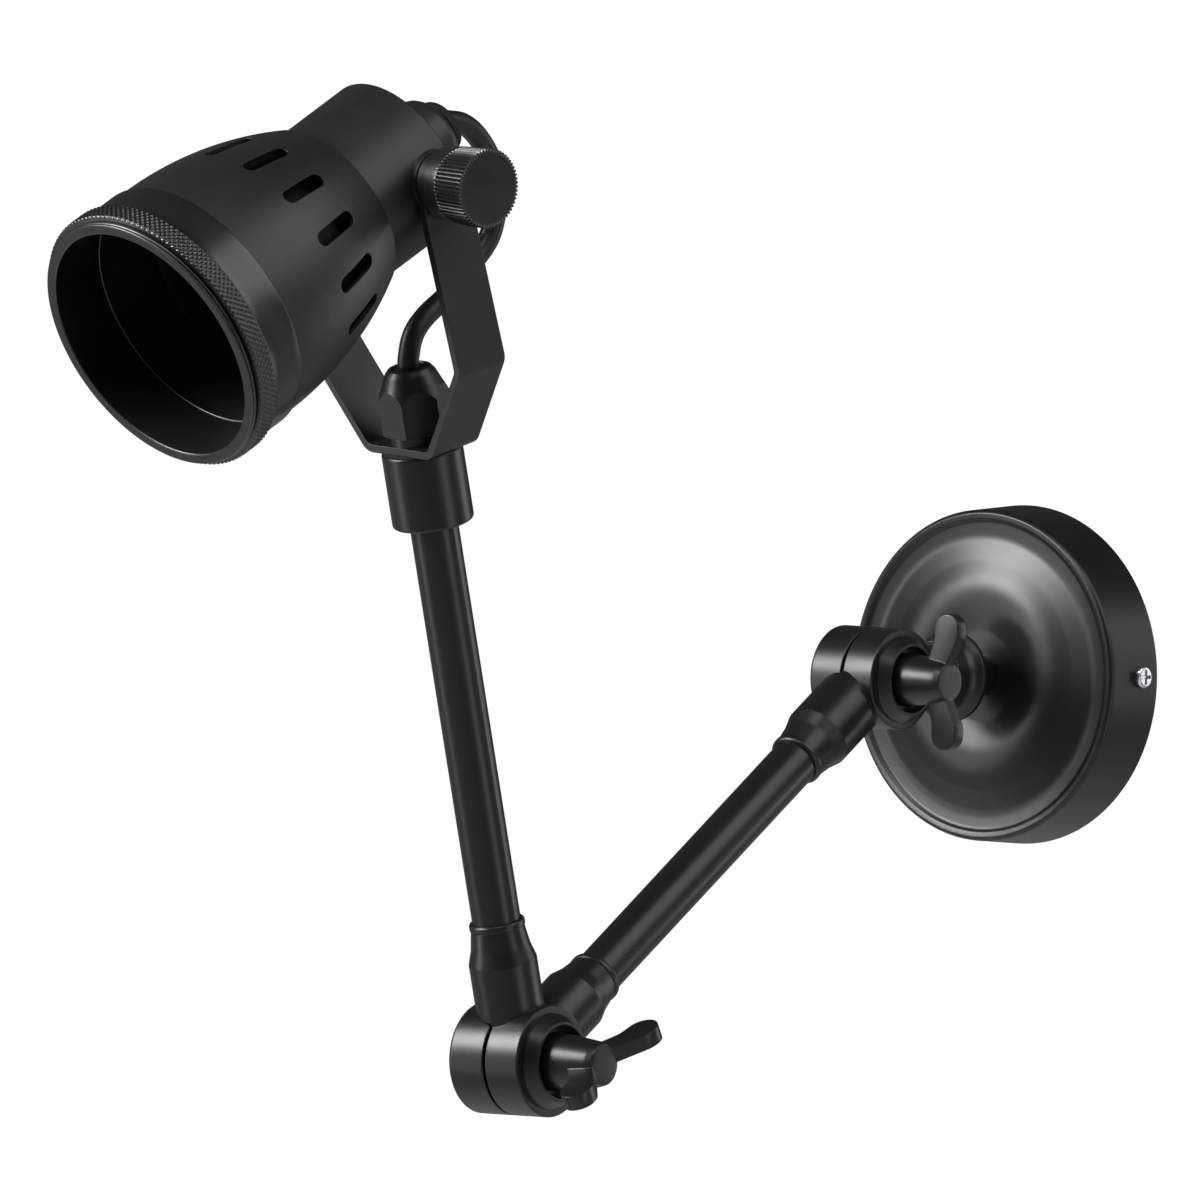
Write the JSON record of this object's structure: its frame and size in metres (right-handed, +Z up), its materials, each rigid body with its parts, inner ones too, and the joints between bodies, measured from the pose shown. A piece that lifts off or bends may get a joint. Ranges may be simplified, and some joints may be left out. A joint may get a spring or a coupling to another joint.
{
  "type": "articulating wall lamp",
  "caption": "Wall spotlight on jointed tube arms: a round canopy, hinges locked by wing nuts, a strap yoke with a cable gland and a vented, tilting bell shade.",
  "frame": {"origin": "centre of the wall screw pattern on the canopy's back plane, at the wall", "axes": "+Z up, +Y into the wall, so the lamp stands out along -Y"},
  "size_m": [0.109, 0.4204, 0.306],
  "materials": {
    "black_paint": "satin black",
    "black_plastic": "satin black",
    "black_rubber": "matt black",
    "cable": "smooth black sheath",
    "bright_steel": "plated",
    "zinc_steel": "zinc plated",
    "brass": "satin",
    "pale_plastic": "matt"
  },
  "bodies": {
    "wall_mount": {"canopy": "black_paint", "wall_bracket": "zinc_steel", "side_screws": "bright_steel", "terminal_block": "pale_plastic", "terminal_screws": "brass", "earth_screw": "brass"},
    "wall_stem": {"stem_boss": "black_paint", "stem_knuckle": "black_paint", "stem_washer": "bright_steel", "stem_nut": "bright_steel", "stem_cable": "cable", "wall_hinge_bolt": "bright_steel", "wall_hinge_washer": "black_plastic"},
    "wall_nut": {"wall_wing_nut": "black_paint"},
    "lower_arm": {"lower_arm_top_knuckle": "black_paint", "lower_arm_tube": "black_paint", "lower_arm_end_knuckle": "black_paint", "lower_arm_cable": "cable", "elbow_hinge_bolt": "bright_steel", "elbow_hinge_washer": "black_plastic"},
    "elbow_nut": {"elbow_wing_nut": "black_paint"},
    "upper_arm": {"upper_arm_knuckle": "black_paint", "upper_arm_tube": "black_paint", "upper_arm_coupler": "black_paint", "upper_arm_nipple": "bright_steel", "upper_arm_cable": "cable"},
    "yoke": {"yoke_strap": "black_paint", "gland_washer": "black_paint", "gland_nut": "black_plastic", "gland_seal": "black_rubber", "cord": "cable", "tilt_washer": "black_paint"},
    "head": {"housing": "black_paint", "shade": "black_paint", "light_baffle": "black_paint", "rear_cap": "black_paint", "strain_relief": "black_rubber", "lampholder": "black_plastic", "socket_shell": "brass", "centre_contact": "brass", "holder_screws": "bright_steel", "far_pivot_screw": "black_paint", "far_pivot_nut": "bright_steel"},
    "ring": {"front_ring": "black_paint"},
    "knob": {"tilt_knob": "black_plastic"}
  },
  "joints": [
    {"name": "wall_swivel", "type": "hinge", "parent": "wall_mount", "child": "wall_stem", "pos_m": [0, 0, 0], "axis": [0, 1, 0], "range_deg": [-170, 170]},
    {"name": "wall_hinge", "type": "hinge", "parent": "wall_stem", "child": "lower_arm", "pos_m": [0, -0.072, 0], "axis": [1, 0, 0], "range_deg": [-60, 55]},
    {"name": "wall_nut_turn", "type": "hinge", "parent": "wall_stem", "child": "wall_nut", "pos_m": [0, -0.072, 0], "axis": [1, 0, 0], "continuous": true},
    {"name": "elbow_hinge", "type": "hinge", "parent": "lower_arm", "child": "upper_arm", "pos_m": [0, -0.23405, -0.11096], "axis": [1, 0, 0], "range_deg": [0, 105]},
    {"name": "elbow_nut_turn", "type": "hinge", "parent": "lower_arm", "child": "elbow_nut", "pos_m": [0, -0.23405, -0.11096], "axis": [1, 0, 0], "continuous": true},
    {"name": "yoke_swivel", "type": "hinge", "parent": "upper_arm", "child": "yoke", "pos_m": [0, -0.28888, 0.07064], "axis": [0, -0.289, 0.9573], "range_deg": [-120, 120]},
    {"name": "head_tilt", "type": "hinge", "parent": "yoke", "child": "head", "pos_m": [0, -0.31348, 0.15211], "axis": [0.9866, -0.1564, -0.0472], "range_deg": [-60, 30], "deforming": ["cord"]},
    {"name": "ring_turn", "type": "hinge", "parent": "head", "child": "ring", "pos_m": [-0.01262, -0.38105, 0.11218], "axis": [-0.1587, -0.85, -0.5023], "range_deg": [0, 90]},
    {"name": "knob_turn", "type": "hinge", "parent": "head", "child": "knob", "pos_m": [0, -0.31348, 0.15211], "axis": [0.9866, -0.1564, -0.0472], "continuous": true}
  ]
}
